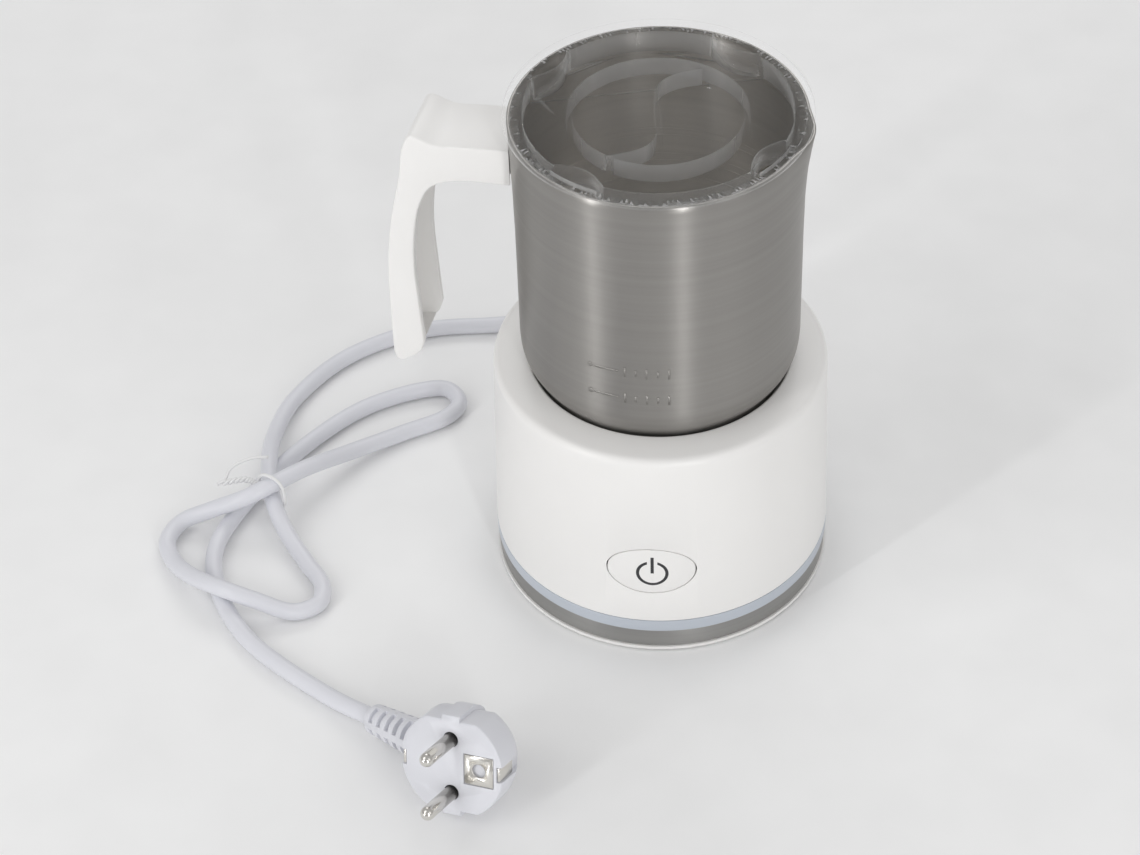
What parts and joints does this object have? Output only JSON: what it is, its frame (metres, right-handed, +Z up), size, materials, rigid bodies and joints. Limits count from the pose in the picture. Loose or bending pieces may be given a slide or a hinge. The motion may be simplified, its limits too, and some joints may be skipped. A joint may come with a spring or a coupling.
{
  "type": "milk frother",
  "caption": "Induction milk frother: round base with a button and light band, lift-off steel jug with handle, magnetic whisk, clear lid and mains lead with plug.",
  "frame": {"origin": "middle of the base's underside at table level, under the jug's axis", "axes": "+Z up along the jug's axis; the power button faces -Y; the handle points towards -X, ten degrees towards +Y; the lead leaves the base at +Y"},
  "size_m": [0.2392, 0.2669, 0.1903],
  "materials": {
    "white_plastic": "smooth warm white moulded plastic",
    "inner_plastic": "plain moulded plastic",
    "light_plastic": "translucent blue-grey light guide",
    "clear_plastic": "clear moulded plastic",
    "satin_metal": "satin grey metal",
    "jug_steel": "brushed stainless steel, horizontal grain",
    "nickel": "bright nickel plate",
    "copper": "wound copper",
    "ferrite": "dark ferrite",
    "magnet": "plated magnet",
    "board_green": "green circuit board",
    "dark_plastic": "dark moulded plastic",
    "rubber": "soft grey rubber",
    "lead_plastic": "lavender white lead sheath",
    "tie_plastic": "white coated wire",
    "aluminium": "plain extruded aluminium"
  },
  "bodies": {
    "base": {"base_shell": "white_plastic", "bottom_cover": "white_plastic", "capacitor": "dark_plastic", "choke": "copper", "circuit_board": "board_green", "clamp_screw_1": "satin_metal", "clamp_screw_2": "satin_metal", "coil_carrier": "inner_plastic", "cord_clamp": "inner_plastic", "cord_tie": "tie_plastic", "cover_screw_1": "satin_metal", "cover_screw_2": "satin_metal", "cover_screw_3": "satin_metal", "earth_clip_1": "nickel", "earth_clip_2": "nickel", "earth_plate": "nickel", "ferrite_bar_1": "ferrite", "ferrite_bar_2": "ferrite", "ferrite_bar_3": "ferrite", "ferrite_bar_4": "ferrite", "foot_1": "rubber", "foot_2": "rubber", "foot_3": "rubber", "foot_4": "rubber", "heat_sink": "aluminium", "induction_coil": "copper", "inner_lead": "lead_plastic", "light_ring": "light_plastic", "motor_bracket": "satin_metal", "motor_can": "satin_metal", "motor_cap": "dark_plastic", "motor_screw_1": "satin_metal", "motor_screw_2": "satin_metal", "plug_body": "lead_plastic", "plug_pin_1": "nickel", "plug_pin_2": "nickel", "power_cord": "lead_plastic", "seat_plate": "inner_plastic", "strain_relief": "lead_plastic", "switch_board": "board_green", "switch_body": "dark_plastic", "temperature_sensor": "dark_plastic", "terminal_block": "inner_plastic", "trim_ring": "satin_metal"},
    "drive_rotor": {"motor_shaft": "nickel", "drive_hub": "inner_plastic", "drive_magnet_1": "magnet", "drive_magnet_2": "magnet"},
    "button": {"power_button": "white_plastic"},
    "plunger": {"switch_plunger": "white_plastic"},
    "jug": {"jug_body": "jug_steel", "handle_bracket": "satin_metal", "handle": "white_plastic", "handle_screw": "satin_metal", "whisk_post": "nickel"},
    "whisk": {"whisk_hub": "inner_plastic", "whisk_ring": "nickel", "whisk_magnet_1": "magnet", "whisk_magnet_2": "magnet"},
    "lid": {"lid": "clear_plastic"}
  },
  "joints": [
    {"name": "drive_spin", "type": "hinge", "parent": "base", "child": "drive_rotor", "pos_m": [0, 0, 0.07], "axis": [0, 0, 1], "continuous": true},
    {"name": "button_press", "type": "slide", "parent": "base", "child": "button", "axis": [0, 1, 0], "range_m": [0, 0.0008], "stiffness_N_per_m": 600},
    {"name": "plunger_press", "type": "slide", "parent": "base", "child": "plunger", "axis": [0, 1, 0], "range_m": [0, 0.0008], "stiffness_N_per_m": 200},
    {"name": "jug_lift", "type": "slide", "parent": "base", "child": "jug", "axis": [0, 0, 1], "range_m": [0, 0.12]},
    {"name": "whisk_spin", "type": "hinge", "parent": "jug", "child": "whisk", "pos_m": [0, 0, 0.085], "axis": [0, 0, 1], "continuous": true},
    {"name": "lid_lift", "type": "slide", "parent": "jug", "child": "lid", "axis": [0, 0, 1], "range_m": [0, 0.06]}
  ],
  "couplings": [
    {"joint": "whisk_spin", "follows": "drive_spin", "ratio": 1},
    {"joint": "plunger_press", "follows": "button_press", "ratio": 1}
  ]
}
